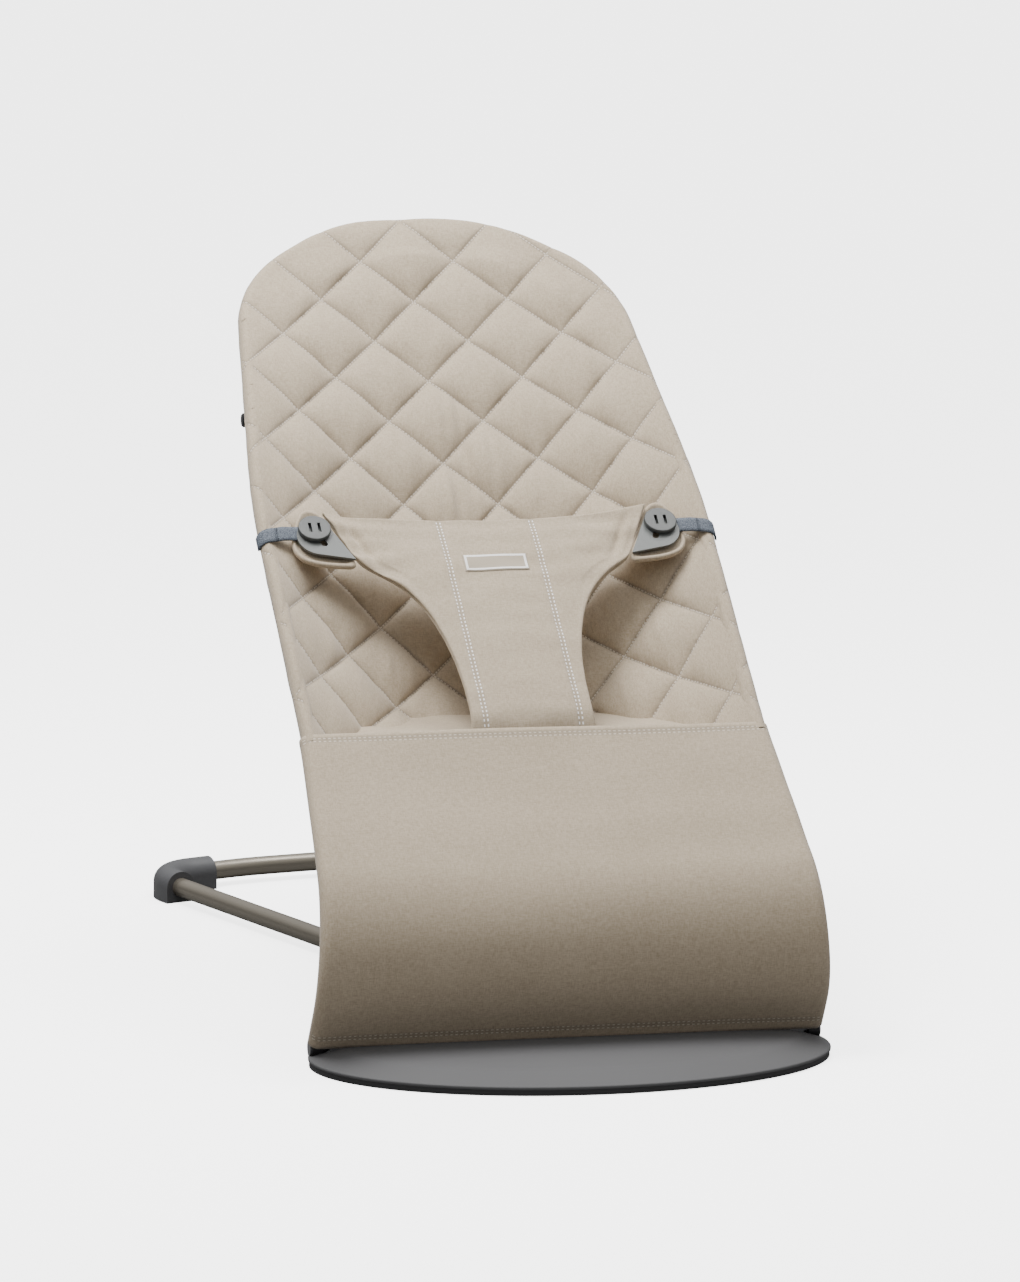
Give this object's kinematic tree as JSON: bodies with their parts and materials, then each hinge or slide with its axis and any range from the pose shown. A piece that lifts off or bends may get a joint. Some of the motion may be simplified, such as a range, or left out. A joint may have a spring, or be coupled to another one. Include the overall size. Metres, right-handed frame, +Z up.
{
  "type": "baby bouncer seat",
  "caption": "Baby bouncer seat: quilted fabric sling on a sprung wire hoop, hinged to a weighted front plate, with a tube base, folding prop and buttoned restraint.",
  "frame": {"origin": "centre of the footprint, on the floor: halfway between the front plate's toe and the back of the rear bar", "axes": "+Z up, +X across the seat to the sitter's left, +Y from the toe of the plate to the head end"},
  "size_m": [0.39, 0.7899, 0.5504],
  "materials": {
    "plate_plastic": "satin moulded plastic, fine grain",
    "sole_rubber": "matt rubber",
    "screw_steel": "zinc plated",
    "frame_metal": "satin champagne metallic paint",
    "foot_rubber": "matt rubber overmoulding",
    "bush_plastic": "natural acetal",
    "wire_steel": "dark polished spring steel",
    "hinge_plastic": "black plastic, light gloss",
    "bracket_plastic": "moulded glass filled nylon",
    "cover_fabric": "greige melange cotton twill",
    "quilted_fabric": "greige melange cotton, diamond quilted",
    "label_fabric": "woven satin label, blank",
    "fitting_plastic": "satin grey plastic",
    "webbing": "blue grey melange webbing"
  },
  "bodies": {
    "base": {"base_plate": "plate_plastic", "plate_sole": "sole_rubber", "plate_screws": "screw_steel", "base_tube": "frame_metal", "rear_foot_left": "foot_rubber", "rear_foot_right": "foot_rubber", "pivot_bush_left": "bush_plastic", "pivot_bush_right": "bush_plastic", "prop_bracket_left": "bracket_plastic", "prop_bracket_right": "bracket_plastic", "bracket_screws": "screw_steel"},
    "hinge_pins": {"hinge_pin_left": "wire_steel", "hinge_pin_right": "wire_steel"},
    "seat": {"seat_hoop": "wire_steel", "hoop_end_left": "hinge_plastic", "hoop_end_right": "hinge_plastic", "edge_sleeve": "cover_fabric", "recline_comb_left": "bracket_plastic", "recline_comb_right": "bracket_plastic", "seat_bottom": "cover_fabric", "seat_back": "quilted_fabric", "leg_panel": "cover_fabric", "strap_left": "webbing", "strap_right": "webbing"},
    "prop": {"prop_wire": "wire_steel", "prop_shoe_left": "hinge_plastic", "prop_shoe_right": "hinge_plastic"},
    "restraint": {"restraint_panel": "cover_fabric", "label_patch": "label_fabric", "wing_tongue_left": "cover_fabric", "wing_tongue_right": "cover_fabric", "keyhole_plate_left": "fitting_plastic", "keyhole_plate_right": "fitting_plastic"},
    "left_button": {"button_left": "fitting_plastic", "strap_tab_left": "webbing"},
    "right_button": {"button_right": "fitting_plastic", "strap_tab_right": "webbing"}
  },
  "joints": [
    {"name": "bounce", "type": "hinge", "parent": "base", "child": "hinge_pins", "pos_m": [0, -0.266, 0.012], "axis": [1, 0, 0], "range_deg": [0, 4], "stiffness_Nm_per_rad": 320},
    {"name": "recline", "type": "hinge", "parent": "hinge_pins", "child": "seat", "pos_m": [0, -0.266, 0.012], "axis": [1, 0, 0], "range_deg": [-37, 0]},
    {"name": "prop_fold", "type": "hinge", "parent": "base", "child": "prop", "pos_m": [0, 0.036, 0.028], "axis": [1, 0, 0], "range_deg": [-66.1, 0]},
    {"name": "restraint_open", "type": "hinge", "parent": "seat", "child": "restraint", "pos_m": [0, -0.15857, 0.22004], "axis": [1, 0, 0], "range_deg": [0, 105]},
    {"name": "left_unbutton", "type": "slide", "parent": "restraint", "child": "left_button", "axis": [0.4027, -0.731, -0.5509], "range_m": [0, 0.008]},
    {"name": "right_unbutton", "type": "slide", "parent": "restraint", "child": "right_button", "axis": [-0.4027, -0.731, -0.5509], "range_m": [0, 0.008]}
  ],
  "couplings": [
    {"joint": "prop_fold", "follows": "recline", "ratio": 1.7847}
  ]
}
